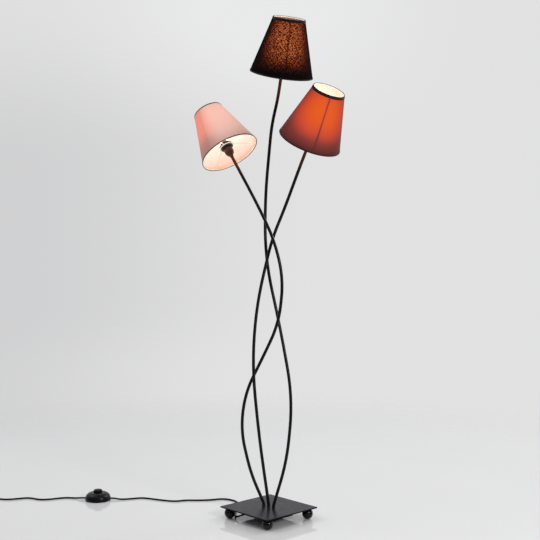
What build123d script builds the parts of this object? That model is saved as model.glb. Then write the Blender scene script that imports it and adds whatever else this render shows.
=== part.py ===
from build123d import *
import os
from math import cos, pi, radians, sin, sqrt, tan

os.makedirs("parts", exist_ok=True)

# Frame: +Z up, +X to the right, +Y away from the viewer. The origin is on the floor,
# under the middle of the base. Lengths are in millimetres and angles in degrees.

# Base
plate_side = 220
plate_thickness = 4
plate_turn = 45  # the square stands with a corner to the front
plate_edge_break = 0.6
foot_diameter = 35
foot_height = 34  # over the two flats of a ball
foot_inset = 22  # from the plate's edges to a ball's middle
foot_stud_diameter = 6
foot_stud_length = 20
thread_gap = 0.1  # radial, where a thread is drawn plain

# Wiring box under the plate
box_side = 110
box_depth = 24
box_wall = 1.2
box_stud_diameter = 4
box_stud_inset = 14
box_nut_across = 7
box_nut_height = 5
terminal_width = 14
terminal_length = 40
terminal_height = 13
terminal_corner = 1
terminal_reach = 21  # from the middle of the box to the block's middle
terminal_shift = 3
pole_pitch = 10
pole_bore = 5.6
pole_screw_diameter = 4

# Stems
stem_diameter = 10
stem_wall = 1.25
stem_pitch_x = 16
stem_pitch_y = -13
stem_collar_diameter = 13.5
stem_collar_height = 2
stem_collar_taper = 20
stem_foot_bend = 25
stem_upright = 8  # from the plate's top to the first corner
stem_end_below = 8
stem_hole_gap = 0.15
washer_diameter = 17
washer_thickness = 1.2
nut_across = 14
nut_height = 3
wire_diameter = 5
wire_bend = 5
bend_share = 0.49  # of the shorter run, taken by each bend

# Heads: the middle of each shade's bottom ring, its lean from upright and the way it leans
head_high = (41, -48, 1408)
lean_high = 19.5
way_high = -64
head_right = (129, -83, 1197)
lean_right = 32.3
way_right = -51.3
head_left = (-132, 127, 1180)
lean_left = 34.3
way_left = 142.9

# Straight stretch of each stem below its head, and the corners of the stem on its way up
straight_high = 60
bends_high = [
    (58, 0, 185), (77, 18, 382), (37, 43, 606), (-12, 60, 824), (-14, 60, 1025), (9, 9, 1256),
]
straight_right = 95
bends_right = [
    (-31, 5, 260), (-53, 10, 490), (-40, 28, 685), (9, 46, 895), (51, -5, 993),
]
straight_left = 194
bends_left = [
    (-58, 17, 140), (-91, 22, 280), (-76, 26, 402), (-20, 22, 514), (32, 10, 626), (47, 0, 768),
    (18, 10, 892),
]

# Lampholder, by stations along the head's axis from the shade's bottom ring
neck_station = -15
neck_diameter = 13
neck_length = 4
stem_seat_station = -3
shoulder_station = 6
cap_station = 14
cap_diameter = 31
cap_wall = 1.2
grub_diameter = 4
grub_length = 5
grub_station = -8
body_diameter = 28
body_station = 42
body_floor = 7
body_bore = 24
lower_ring_diameter = 42
lower_ring_station = 20
lower_ring_height = 4.5
upper_ring_diameter = 47
upper_ring_height = 4.8
carrier_thickness = 1.3
carrier_play = 0.2
carrier_ring_diameter = 51
carrier_bore_gap = 0.5

# Bulb
base_diameter = 13.8
base_length = 23
base_tip_diameter = 5
base_tip_length = 2
socket_gap = 0.2
socket_wall = 0.8
glass_neck_diameter = 16
glass_diameter = 35
glass_wall = 0.8
glass_belly = 24  # from the neck to the widest place
glass_length = 73
glass_tip_diameter = 6
filament_diameter = 1
filament_reach = 46
filament_width = 8
mount_diameter = 5
mount_length = 14

# Shades
shade_bottom_diameter = 198
shade_top_diameter = 100
shade_height = 172.6
shade_skin = 1.2
ring_wire = 3
ring_gap = 0.2
arm_count = 3
arm_turn = 20
arm_knee = 38  # from the axis to the arm's bend
arm_bend = 14
top_ring_drop = 2

# Foot switch on the floor
switch_x = -593
switch_y = 208
switch_diameter = 86
switch_height = 26
switch_band = 6
switch_crown = 34  # across the flat top
switch_skin = 2
switch_lift = 0.6
switch_floor = 2.5
button_diameter = 29
button_rise = 10
button_travel = 3.5
button_gap = 0.4
button_flange = 2
button_flange_height = 2
spring_diameter = 12
spring_wire = 1
spring_turns = 4
spring_steps = 6
spring_pocket = 16
spring_roof = 28
spring_boss_height = 3
post_circle = 66
post_diameter = 8
post_count = 3
switch_screw_diameter = 3
switch_screw_head = 6
switch_screw_length = 10
contact_thickness = 0.8
contact_width = 6
contact_height = 10
contact_spread = 40

# Cord
cord_diameter = 5.6
cord_bend_share = 0.45  # of the shorter run, taken by each bend
cord_seat = 6.5  # height of its middle where it enters the switch
cord_in_switch = 6
cord_in_box = 3
gland_reach = 10.5  # from the box's wall to the cord's first corner
switch_reach = 12  # from the housing's edge to the cord's nearest corner
gland_diameter = 12
gland_length = 3
gland_taper = 10
gland_height = 20
gland_along = 35  # from the middle of the box's side
gland_gap = 0.1
coil_x = -992
coil_y = 176
coil_diameter = 60  # across the middle of its turns
coil_wide = 2
coil_high = 2
coil_turns = 4.25
tie_width = 8
tie_thickness = 1
tie_gap = 0.4
plug_width = 35.3
plug_thickness = 13.7
plug_length = 40
plug_corner = 5
relief_length = 20
relief_diameter = 10
relief_taper = 4
pin_diameter = 4
pin_length = 19
pin_pitch = 18.6
pin_depth = 10
pin_root_diameter = 3  # of the part moulded into the plug

# Where the cord goes from the gland to the switch, and from the switch to the coil
lamp_bends = [
    (-85, -24.5, 16), (-98, -19.5, 11), (-106.5, -8, 6), (-108, 16, 3.2), (-111, 46, 2.8),
    (-109, 86, 2.8), (-104, 128, 2.8), (-106, 168, 2.8), (-126, 207, 2.8),
    (-166, 226, 2.8), (-206, 208, 2.8), (-250, 201, 2.8), (-290, 203, 2.8), (-322, 186, 2.8),
    (-362, 196, 2.8), (-408, 216, 2.8), (-444, 230, 2.8), (-478, 216, 2.8), (-514, 205, 2.8),
]
wall_bends = [
    (-673, 219, 2.8), (-714, 224, 2.8), (-752, 202, 2.8), (-790, 192, 2.8), (-834, 220, 2.8),
    (-868, 205, 2.8), (-905, 191, 2.8), (-942, 203, 2.8),
]

# Heights that follow
plate_bottom = foot_height
plate_top = plate_bottom + plate_thickness
base_plane = Plane.XY.rotated((0, 0, plate_turn))
foot_reach = plate_side / 2 - foot_inset
box_bottom = plate_bottom - box_depth
stem_places = {
    "high": (stem_pitch_x, stem_pitch_y),
    "right": (0, 0),
    "left": (-stem_pitch_x, -stem_pitch_y),
}


def save(piece, name):
    piece.part.label = name
    export_step(piece.part, f"parts/{name}.step")


def base_at(along, across, height=0.0):
    """A point given along the plate's sides, in the lamp's own frame."""
    return base_plane.offset(height).from_local_coords(Vector(along, across, 0))


def head_seat(middle, lean, way):
    """The plane of a shade's bottom ring, with its z along the head and its y away from the viewer."""
    upward = Vector(0, 0, 1).rotate(Axis.Y, lean).rotate(Axis.Z, way)
    return Plane(origin=middle, x_dir=Vector(0, 1, 0).cross(upward), z_dir=upward)


def side_of(seat):
    """A plane through a head's axis: x is the distance from the axis and y the station along it."""
    return Plane(origin=seat.origin, x_dir=seat.x_dir, z_dir=-seat.y_dir)


def bend_radii(points, share):
    """The radius of each corner of a route, as large as its share of the shorter run allows."""
    radii = []
    for before, corner, after in zip(points, points[1:], points[2:]):
        turn = (corner - before).get_angle(after - corner)
        shorter = min((corner - before).length, (after - corner).length)
        radii.append(share * shorter / tan(radians(turn) / 2))
    return radii


def rounded_tube(points, radii, diameter, bore=0.0):
    """A round bar, or a tube with a bore, along straight runs joined by arcs."""
    with BuildPart() as tube:
        with BuildLine():
            route = FilletPolyline(*points, radius=radii)
        with BuildSketch(Plane(origin=points[0], z_dir=points[1] - points[0])):
            Circle(diameter / 2)
            if bore:
                Circle(bore / 2, mode=Mode.SUBTRACT)
        sweep(path=route)
    return tube


# Base plate, with the stems' holes in one row
with BuildPart() as base_plate:
    with BuildSketch(base_plane.offset(plate_bottom)):
        Rectangle(plate_side, plate_side)
    extrude(amount=plate_thickness)
    chamfer(base_plate.edges().group_by(Axis.Z)[-1], length=plate_edge_break)
    with BuildSketch(Plane.XY.offset(plate_bottom)):
        with Locations(*stem_places.values()):
            Circle(stem_diameter / 2 + stem_hole_gap)
    extrude(amount=plate_thickness, mode=Mode.SUBTRACT)
save(base_plate, "base_plate")

# Ball feet, each bored for its stud
foot_signs = {"front": (-1, -1), "right": (1, -1), "back": (1, 1), "left": (-1, 1)}
for foot_name, (along_sign, across_sign) in foot_signs.items():
    foot_place = base_at(foot_reach * along_sign, foot_reach * across_sign)
    foot_plane = Plane(origin=foot_place)
    with BuildPart() as foot:
        with BuildSketch(Plane(origin=foot_place, x_dir=(1, 0, 0), z_dir=(0, -1, 0))):
            with Locations((0, foot_height / 2)):
                Circle(foot_diameter / 2)
            with Locations((-foot_diameter / 2, foot_height / 2)):
                Rectangle(foot_diameter, foot_diameter, mode=Mode.SUBTRACT)
            with Locations((foot_diameter / 4, foot_height / 2)):
                Rectangle(foot_diameter / 2, foot_height, mode=Mode.INTERSECT)
        revolve(axis=Axis(foot_place, (0, 0, 1)))
        with BuildSketch(foot_plane.offset(foot_height)):
            Circle(foot_stud_diameter / 2 + thread_gap)
        extrude(amount=-foot_stud_length - thread_gap, mode=Mode.SUBTRACT)
    save(foot, f"foot_{foot_name}")

# Studs welded under the plate: four for the feet and two for the wiring box
box_stud_reach = box_side / 2 - box_stud_inset
box_stud_length = box_depth + box_nut_height - box_wall
with BuildPart() as plate_studs:
    with BuildSketch(base_plane.offset(plate_bottom)):
        with GridLocations(2 * foot_reach, 2 * foot_reach, 2, 2):
            Circle(foot_stud_diameter / 2)
    extrude(amount=-foot_stud_length)
    with BuildSketch(base_plane.offset(plate_bottom)):
        with Locations((box_stud_reach, box_stud_reach), (-box_stud_reach, -box_stud_reach)):
            Circle(box_stud_diameter / 2)
    extrude(amount=-box_stud_length)
save(plate_studs, "plate_studs")

# Wiring box: a sheet tray that closes against the plate
gland_place = base_at(-box_side / 2, gland_along, gland_height)
gland_way = base_plane.x_dir * -1
gland_plane = Plane(origin=gland_place, x_dir=base_plane.y_dir, z_dir=gland_way)
with BuildPart() as wiring_box:
    with BuildSketch(base_plane.offset(box_bottom)):
        RectangleRounded(box_side, box_side, 2 * box_wall)
    extrude(amount=box_depth)
    with BuildSketch(base_plane.offset(box_bottom + box_wall)):
        RectangleRounded(box_side - 2 * box_wall, box_side - 2 * box_wall, box_wall)
    extrude(amount=box_depth, mode=Mode.SUBTRACT)
    with BuildSketch(base_plane.offset(box_bottom)):
        with Locations((box_stud_reach, box_stud_reach), (-box_stud_reach, -box_stud_reach)):
            Circle(box_stud_diameter / 2 + thread_gap)
    extrude(amount=box_wall, mode=Mode.SUBTRACT)
    with BuildSketch(gland_plane):
        Circle(gland_diameter / 2 - box_wall)
    extrude(amount=-box_wall, mode=Mode.SUBTRACT)
save(wiring_box, "wiring_box")

# Cap nuts that hold the box on its studs
with BuildPart() as box_nuts:
    with BuildSketch(base_plane.offset(box_bottom)):
        with Locations((box_stud_reach, box_stud_reach), (-box_stud_reach, -box_stud_reach)):
            RegularPolygon(box_nut_across / 2, 6, major_radius=False)
    extrude(amount=-box_nut_height)
    with BuildSketch(base_plane.offset(box_bottom)):
        with Locations((box_stud_reach, box_stud_reach), (-box_stud_reach, -box_stud_reach)):
            Circle(box_stud_diameter / 2 + thread_gap)
    extrude(amount=-box_nut_height + box_wall, mode=Mode.SUBTRACT)
save(box_nuts, "box_nuts")

# Terminal block on the floor of the box, with a pole for each stem's wire
terminal_floor = box_bottom + box_wall
pole_height = terminal_floor + terminal_height / 2
pole_places = [terminal_shift + pole_pitch * step for step in (-1, 0, 1)]
with BuildPart() as terminal_block:
    with BuildSketch(base_plane.offset(terminal_floor)):
        with Locations((-terminal_reach, terminal_shift)):
            RectangleRounded(terminal_width, terminal_length, terminal_corner)
    extrude(amount=terminal_height)
    for pole_place in pole_places:
        pole_mouth = base_at(-terminal_reach - terminal_width / 2, pole_place, pole_height)
        with BuildSketch(Plane(origin=pole_mouth, z_dir=base_plane.x_dir)):
            Circle(pole_bore / 2)
        extrude(amount=terminal_width, mode=Mode.SUBTRACT)
    with BuildSketch(base_plane.offset(terminal_floor + terminal_height)):
        with Locations(*[(-terminal_reach, pole_place) for pole_place in pole_places]):
            Circle(pole_screw_diameter / 2)
    extrude(amount=-terminal_height / 2, mode=Mode.SUBTRACT)
save(terminal_block, "terminal_block")

# Cord gland in the box's wall
with BuildPart() as cord_gland:
    with BuildSketch(gland_plane.offset(-2 * box_wall)):
        Circle(gland_diameter / 2 - box_wall - gland_gap)
    extrude(amount=2 * box_wall)
    with BuildSketch(gland_plane):
        Circle(gland_diameter / 2)
    extrude(amount=gland_length, taper=gland_taper)
    with BuildSketch(gland_plane.offset(-2 * box_wall)):
        Circle(cord_diameter / 2 + gland_gap)
    extrude(amount=2 * box_wall + gland_length, mode=Mode.SUBTRACT)
save(cord_gland, "cord_gland")

# Washers and nuts on the stems' threaded ends
with BuildPart() as stem_nuts:
    with BuildSketch(Plane.XY.offset(plate_bottom)):
        with Locations(*stem_places.values()):
            Circle(washer_diameter / 2)
    extrude(amount=-washer_thickness)
    with BuildSketch(Plane.XY.offset(plate_bottom - washer_thickness)):
        with Locations(*stem_places.values()):
            RegularPolygon(nut_across / 2, 6, major_radius=False)
    extrude(amount=-nut_height)
    with BuildSketch(Plane.XY.offset(plate_bottom)):
        with Locations(*stem_places.values()):
            Circle(stem_diameter / 2 + thread_gap)
    extrude(amount=-washer_thickness - nut_height, mode=Mode.SUBTRACT)
save(stem_nuts, "stem_nuts")

# Stems, and the wire inside each of them
heads = {
    "high": head_seat(head_high, lean_high, way_high),
    "right": head_seat(head_right, lean_right, way_right),
    "left": head_seat(head_left, lean_left, way_left),
}
stem_bends = {"high": bends_high, "right": bends_right, "left": bends_left}
stem_straights = {"high": straight_high, "right": straight_right, "left": straight_left}
stem_bottom = plate_bottom - stem_end_below
for head_name, seat in heads.items():
    place_x, place_y = stem_places[head_name]
    stem_foot = Vector(place_x, place_y, stem_bottom)
    first_corner = Vector(place_x, place_y, plate_top + stem_upright)
    last_corner = seat.origin + seat.z_dir * (neck_station - stem_straights[head_name])
    stem_top = seat.origin + seat.z_dir * stem_seat_station
    corners = [first_corner, *[Vector(*bend) for bend in stem_bends[head_name]], last_corner]
    stem_points = [stem_foot, *corners, stem_top]
    stem_radii = [stem_foot_bend, *bend_radii(stem_points, bend_share)[1:]]
    print("stem", head_name, "radii", [round(radius) for radius in stem_radii])
    stem = rounded_tube(stem_points, stem_radii, stem_diameter, stem_diameter - 2 * stem_wall)
    with BuildPart() as collared_stem:
        add(stem.part)
        with BuildSketch(Plane.XY.offset(plate_top)):
            with Locations((place_x, place_y)):
                Circle(stem_collar_diameter / 2)
                Circle(stem_diameter / 2 - stem_wall / 2, mode=Mode.SUBTRACT)
        extrude(amount=stem_collar_height, taper=stem_collar_taper)
    save(collared_stem, f"stem_{head_name}")

    pole_place = pole_places[["high", "right", "left"].index(head_name)]
    pole_face = base_at(-terminal_reach + terminal_width / 2, pole_place, pole_height)
    pole_mouth = pole_face + base_plane.x_dir * wire_bend
    wire_corner = Vector(place_x, place_y, pole_height)
    wire_top = seat.origin + seat.z_dir * shoulder_station
    wire_points = [pole_face, pole_mouth, wire_corner, *corners, wire_top]
    wire_radii = bend_radii(wire_points[:4], bend_share)
    wire = rounded_tube(wire_points, [*wire_radii, *stem_radii], wire_diameter)
    save(wire, f"wire_{head_name}")

# Lampholders, bulbs and shades
ring_top = lower_ring_station + lower_ring_height
carrier_bottom = ring_top + carrier_play
carrier_top = carrier_bottom + carrier_thickness
upper_ring_station = carrier_top + carrier_play
socket_floor = shoulder_station + body_floor
base_bottom = socket_floor + base_tip_length
neck_top = base_bottom + base_length
slope = (shade_bottom_diameter - shade_top_diameter) / 2 / shade_height
wall_across = shade_skin * sqrt(1 + slope * slope)


def skin_inside(station):
    """The inner radius of a shade's skin at a station."""
    return shade_bottom_diameter / 2 - slope * station - wall_across


def ring_radius(station):
    """The radius of a wire ring that lies inside the skin at a station."""
    return skin_inside(station) - (ring_wire / 2) * sqrt(1 + slope * slope) - ring_gap


def wire_ring(seat, station):
    """A ring of round wire about a head's axis, in the part being built."""
    with BuildSketch(side_of(seat)) as wire_end:
        with Locations((ring_radius(station), station)):
            Circle(ring_wire / 2)
    revolve(wire_end.sketch, axis=Axis(seat.origin, seat.z_dir))


def glass_outline(skin):
    """The outline of the candle glass, or of its hollow if skin is the wall."""
    neck = Vector(glass_neck_diameter / 2 - skin, neck_top)
    belly = Vector(glass_diameter / 2 - skin, neck_top + glass_belly)
    tip = Vector(glass_tip_diameter / 2 - skin / 2, neck_top + glass_length - glass_tip_diameter / 2)
    crown = Vector(0, neck_top + glass_length - skin)
    with BuildLine() as outline:
        TangentArc(belly, neck, tangent=(0, -1))
        TangentArc(belly, tip, tangent=(0, 1))
        TangentArc(crown, tip, tangent=(1, 0))
        Polyline(crown, Vector(0, neck.Y), neck)
    make_face(outline.edges())


for head_name, seat in heads.items():
    head_axis = Axis(seat.origin, seat.z_dir)

    # Cap: a dome that rises from the stem's end to a short cylinder
    with BuildPart() as holder_cap:
        with BuildSketch(side_of(seat)):
            with BuildLine():
                neck_foot = (neck_diameter / 2, neck_station)
                neck_head = (neck_diameter / 2, neck_station + neck_length)
                shoulder = (cap_diameter / 2, shoulder_station)
                Polyline((0, neck_station), neck_foot, neck_head)
                TangentArc(shoulder, neck_head, tangent=(0, -1))
                Polyline(shoulder, (cap_diameter / 2, cap_station), (0, cap_station), (0, neck_station))
            make_face()
        revolve(axis=head_axis)
        with BuildSketch(side_of(seat)):
            Polygon(
                (0, stem_seat_station),
                (stem_diameter / 2 + thread_gap, stem_seat_station),
                (cap_diameter / 2 - 3 * cap_wall, shoulder_station - cap_wall),
                (cap_diameter / 2 - cap_wall, shoulder_station),
                (cap_diameter / 2 - cap_wall, cap_station),
                (0, cap_station),
                align=None,
            )
        revolve(axis=head_axis, mode=Mode.SUBTRACT)
        with BuildSketch(seat.offset(neck_station)):
            Circle(stem_diameter / 2 + thread_gap)
        extrude(amount=stem_seat_station - neck_station, mode=Mode.SUBTRACT)
        grub_origin = seat.origin + seat.z_dir * grub_station
        with BuildSketch(Plane(origin=grub_origin, z_dir=-seat.y_dir)):
            Circle(grub_diameter / 2 + thread_gap)
        extrude(amount=cap_diameter, mode=Mode.SUBTRACT)
    save(holder_cap, f"holder_cap_{head_name}")

    # Body: a cup with a floor, threaded outside for the two rings
    with BuildPart() as holder_body:
        with BuildSketch(seat.offset(shoulder_station)):
            Circle(body_diameter / 2)
        extrude(amount=body_station - shoulder_station)
        with BuildSketch(seat.offset(socket_floor)):
            Circle(body_bore / 2)
        extrude(amount=body_station - socket_floor, mode=Mode.SUBTRACT)
    save(holder_body, f"holder_body_{head_name}")

    # Contacts: the screw shell on the cup's floor
    with BuildPart() as holder_contacts:
        with BuildSketch(seat.offset(socket_floor)):
            Circle(base_diameter / 2 + socket_gap + socket_wall)
            Circle(base_diameter / 2 + socket_gap, mode=Mode.SUBTRACT)
        extrude(amount=base_length - base_tip_length)
    save(holder_contacts, f"holder_contacts_{head_name}")

    # Clamp rings under and over the shade's carrier
    with BuildPart() as clamp_rings:
        with BuildSketch(seat.offset(lower_ring_station)):
            Circle(lower_ring_diameter / 2)
        extrude(amount=lower_ring_height)
        with BuildSketch(seat.offset(upper_ring_station)):
            Circle(upper_ring_diameter / 2)
        extrude(amount=upper_ring_height)
        with BuildSketch(seat.offset(lower_ring_station)):
            Circle(body_diameter / 2 + thread_gap)
        extrude(amount=upper_ring_station + upper_ring_height - lower_ring_station, mode=Mode.SUBTRACT)
    save(clamp_rings, f"clamp_rings_{head_name}")

    # Bulb: screw base, glass and filament on its mount
    with BuildPart() as bulb_base:
        with BuildSketch(seat.offset(socket_floor)):
            Circle(base_tip_diameter / 2)
        extrude(amount=base_tip_length)
        with BuildSketch(seat.offset(base_bottom)):
            Circle(base_diameter / 2)
        extrude(amount=base_length)
    save(bulb_base, f"bulb_base_{head_name}")

    with BuildPart() as bulb_glass:
        with BuildSketch(side_of(seat)):
            glass_outline(0)
        revolve(axis=head_axis)
        with BuildSketch(side_of(seat)):
            glass_outline(glass_wall)
        revolve(axis=head_axis, mode=Mode.SUBTRACT)
    save(bulb_glass, f"bulb_glass_{head_name}")

    with BuildPart() as bulb_filament:
        with BuildSketch(seat.offset(neck_top)):
            Circle(mount_diameter / 2)
        extrude(amount=mount_length)
        with BuildSketch(seat.offset(neck_top + mount_length)):
            with Locations((filament_width / 2, 0), (-filament_width / 2, 0)):
                Circle(filament_diameter / 2)
        extrude(amount=filament_reach - mount_length)
        for bar_station in (mount_length, filament_reach):
            with BuildSketch(seat.offset(neck_top + bar_station - filament_diameter)):
                Rectangle(filament_width + filament_diameter, filament_diameter)
            extrude(amount=filament_diameter)
    save(bulb_filament, f"bulb_filament_{head_name}")

    # Shade: the stiffened skin, the lower frame with its carrier, and the top ring
    with BuildPart() as shade_panel:
        with BuildSketch(side_of(seat)):
            Polygon(
                (shade_bottom_diameter / 2 - wall_across, 0),
                (shade_bottom_diameter / 2, 0),
                (shade_top_diameter / 2, shade_height),
                (shade_top_diameter / 2 - wall_across, shade_height),
                align=None,
            )
        revolve(axis=head_axis)
    save(shade_panel, f"shade_panel_{head_name}")

    ring_station = ring_wire / 2 + ring_gap
    with BuildPart() as shade_frame:
        wire_ring(seat, ring_station)
        with BuildSketch(seat.offset(carrier_bottom)):
            Circle(carrier_ring_diameter / 2)
            Circle(body_diameter / 2 + carrier_bore_gap, mode=Mode.SUBTRACT)
        extrude(amount=carrier_thickness)
        carrier_middle = carrier_bottom + carrier_thickness / 2
        for arm_step in range(arm_count):
            arm_way = radians(arm_turn + 360 / arm_count * arm_step)
            outward = seat.x_dir * cos(arm_way) + seat.y_dir * sin(arm_way)
            arm_root = carrier_ring_diameter / 2 - ring_gap
            arm_points = [
                seat.origin + outward * arm_root + seat.z_dir * carrier_middle,
                seat.origin + outward * arm_knee + seat.z_dir * carrier_middle,
                seat.origin + outward * ring_radius(ring_station) + seat.z_dir * ring_station,
            ]
            with BuildLine():
                arm_route = FilletPolyline(*arm_points, radius=arm_bend)
            with BuildSketch(Plane(origin=arm_points[0], z_dir=outward)):
                Circle(ring_wire / 2)
            sweep(path=arm_route)
    save(shade_frame, f"shade_frame_{head_name}")

    with BuildPart() as shade_top_ring:
        wire_ring(seat, shade_height - top_ring_drop)
    save(shade_top_ring, f"shade_top_ring_{head_name}")

# Grub screws that hold the caps on the stems
with BuildPart() as holder_grub_screws:
    for seat in heads.values():
        grub_origin = seat.origin + seat.z_dir * grub_station
        grub_plane = Plane(origin=grub_origin, z_dir=-seat.y_dir)
        with BuildSketch(grub_plane.offset(stem_diameter / 2 + thread_gap)):
            Circle(grub_diameter / 2)
        extrude(amount=grub_length)
save(holder_grub_screws, "holder_grub_screws")

# Foot switch
switch_middle = Vector(switch_x, switch_y, 0)
switch_plane = Plane(origin=switch_middle)
switch_side = Plane(origin=switch_middle, x_dir=(1, 0, 0), z_dir=(0, -1, 0))
switch_axis = Axis(switch_middle, (0, 0, 1))
flange_top = switch_height - switch_skin - button_gap
flange_bottom = flange_top - button_flange_height
flange_diameter = button_diameter + 2 * button_flange


def switch_dome(skin):
    """The side view of the housing, or of its hollow if skin is the wall."""
    edge = switch_diameter / 2 - skin
    crown = switch_crown / 2
    roof = switch_height - skin
    with BuildLine() as outline:
        Polyline((crown, roof), (0, roof), (0, switch_lift), (edge, switch_lift), (edge, switch_band))
        TangentArc((edge, switch_band), (crown, roof), tangent=(0, 1))
    make_face(outline.edges())


with BuildPart() as switch_base:
    with BuildSketch(switch_plane):
        Circle(switch_diameter / 2 - switch_skin - button_gap)
    extrude(amount=switch_floor)
    with BuildSketch(switch_plane.offset(switch_floor)):
        Circle(spring_diameter / 2 - 2 * spring_wire)
    extrude(amount=spring_boss_height)
    with BuildSketch(switch_plane):
        with PolarLocations(post_circle / 2, post_count, start_angle=90):
            Circle(switch_screw_diameter / 2 + thread_gap)
    extrude(amount=switch_floor, mode=Mode.SUBTRACT)
    with BuildSketch(switch_plane):
        with PolarLocations(post_circle / 2, post_count, start_angle=90):
            Circle(switch_screw_head / 2 + thread_gap)
    extrude(amount=switch_floor / 2, mode=Mode.SUBTRACT)
save(switch_base, "switch_base")

with BuildPart() as switch_housing:
    with BuildSketch(switch_side):
        switch_dome(0)
    revolve(axis=switch_axis)
    with BuildSketch(switch_side):
        switch_dome(switch_skin)
    revolve(axis=switch_axis, mode=Mode.SUBTRACT)
    with BuildSketch(switch_plane.offset(switch_floor)):
        with PolarLocations(post_circle / 2, post_count, start_angle=90):
            Circle(post_diameter / 2)
    extrude(amount=switch_height)
    with BuildSketch(switch_side):
        switch_dome(0)
    revolve(axis=switch_axis, mode=Mode.INTERSECT)
    with BuildSketch(switch_plane.offset(switch_floor)):
        with PolarLocations(post_circle / 2, post_count, start_angle=90):
            Circle(switch_screw_diameter / 2)
    extrude(amount=switch_screw_length, mode=Mode.SUBTRACT)
    with BuildSketch(switch_plane.offset(switch_height)):
        Circle(button_diameter / 2 + button_gap)
    extrude(amount=-switch_skin, mode=Mode.SUBTRACT)
    cord_hole_plane = Plane(origin=switch_middle + Vector(0, 0, cord_seat), z_dir=(1, 0, 0))
    with BuildSketch(cord_hole_plane):
        Circle(cord_diameter / 2 + gland_gap)
    extrude(amount=switch_diameter, both=True, mode=Mode.SUBTRACT)
save(switch_housing, "switch_housing")

with BuildPart() as switch_button:
    with BuildSketch(switch_plane.offset(flange_bottom)):
        Circle(flange_diameter / 2)
    extrude(amount=button_flange_height)
    with BuildSketch(switch_plane.offset(flange_bottom)):
        Circle(button_diameter / 2)
    extrude(amount=switch_height + button_rise - flange_bottom)
    fillet(switch_button.edges().group_by(Axis.Z)[-1], radius=button_travel)
    with BuildSketch(switch_plane.offset(flange_bottom)):
        Circle(spring_pocket / 2)
    extrude(amount=spring_roof - flange_bottom, mode=Mode.SUBTRACT)
save(switch_button, "switch_button")

# Spring between the base and the button's pocket
spring_bottom = switch_floor + spring_wire / 2 + thread_gap
spring_pitch = (spring_roof - switch_floor - spring_wire - 2 * thread_gap) / spring_turns
spring_points = []
for step in range(spring_turns * spring_steps + 1):
    turned = step / spring_steps
    spring_point = Vector(spring_diameter / 2, 0, spring_bottom + spring_pitch * turned)
    spring_points.append(switch_middle + spring_point.rotate(Axis.Z, 360 * turned))
switch_spring = rounded_tube(spring_points, bend_radii(spring_points, bend_share), spring_wire)
save(switch_spring, "switch_spring")

with BuildPart() as switch_contacts:
    with BuildSketch(switch_plane.offset(switch_floor)):
        with GridLocations(contact_spread, 0, 2, 1):
            Rectangle(contact_thickness, contact_width)
    extrude(amount=contact_height)
save(switch_contacts, "switch_contacts")

with BuildPart() as switch_screws:
    with BuildSketch(switch_plane.offset(switch_floor / 2)):
        with PolarLocations(post_circle / 2, post_count, start_angle=90):
            Circle(switch_screw_head / 2)
    extrude(amount=-switch_floor / 4)
    with BuildSketch(switch_plane.offset(switch_floor / 2)):
        with PolarLocations(post_circle / 2, post_count, start_angle=90):
            Circle(switch_screw_diameter / 2 - thread_gap / 2)
    extrude(amount=switch_screw_length)
save(switch_screws, "switch_screws")

# Cord from the gland to the switch
cord_start = gland_place - gland_way * cord_in_box
gland_corner = gland_place + gland_way * gland_reach
lamp_end = switch_middle + Vector(switch_diameter / 2 - cord_in_switch, 0, cord_seat)
lamp_corner = switch_middle + Vector(switch_diameter / 2 + switch_reach, 0, cord_seat)
lamp_points = [cord_start, gland_corner, *[Vector(*bend) for bend in lamp_bends], lamp_corner, lamp_end]
lamp_radii = bend_radii(lamp_points, cord_bend_share)
print("cord lamp radii", [round(radius) for radius in lamp_radii])
cord_lamp = rounded_tube(lamp_points, lamp_radii, cord_diameter)
save(cord_lamp, "cord_lamp")

# Cord from the switch to the coil
coil_middle = Vector(coil_x, coil_y, 0)
coil_edge = coil_diameter / 2 + coil_wide * cord_diameter / 2
outer_turn = coil_edge - cord_diameter / 2
coil_reach = sqrt(coil_edge**2 - outer_turn**2)
wall_start = switch_middle + Vector(cord_in_switch - switch_diameter / 2, 0, cord_seat)
wall_corner = switch_middle - Vector(switch_diameter / 2 + switch_reach, 0, -cord_seat)
wall_end = coil_middle + Vector(coil_reach, outer_turn, tie_thickness + cord_diameter / 2)
wall_points = [wall_start, wall_corner, *[Vector(*bend) for bend in wall_bends], wall_end]
wall_radii = bend_radii(wall_points, cord_bend_share)
print("cord wall radii", [round(radius) for radius in wall_radii])
cord_wall = rounded_tube(wall_points, wall_radii, cord_diameter)
save(cord_wall, "cord_wall")

# Coil: the outer shape of its turns, which lie on the tie that goes round them
coil_height = coil_high * cord_diameter
coil_width = coil_wide * cord_diameter
bundle_middle = tie_thickness + coil_height / 2
with BuildPart() as cord_coil:
    with BuildSketch(Plane(origin=coil_middle, x_dir=(1, 0, 0), z_dir=(0, -1, 0))):
        with Locations((coil_diameter / 2, bundle_middle)):
            RectangleRounded(coil_width, coil_height, cord_diameter / 2)
    revolve(axis=Axis(coil_middle, (0, 0, 1)))
save(cord_coil, "cord_coil")

tie_middle = coil_middle + Vector(0, -coil_diameter / 2, bundle_middle)
with BuildPart() as coil_tie:
    with BuildSketch(Plane(origin=tie_middle, x_dir=(0, 1, 0), z_dir=(1, 0, 0))):
        Rectangle(coil_width + 2 * (tie_gap + tie_thickness), coil_height + 2 * tie_thickness)
        Rectangle(coil_width + 2 * tie_gap, coil_height, mode=Mode.SUBTRACT)
    extrude(amount=tie_width / 2, both=True)
save(coil_tie, "coil_tie")

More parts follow.
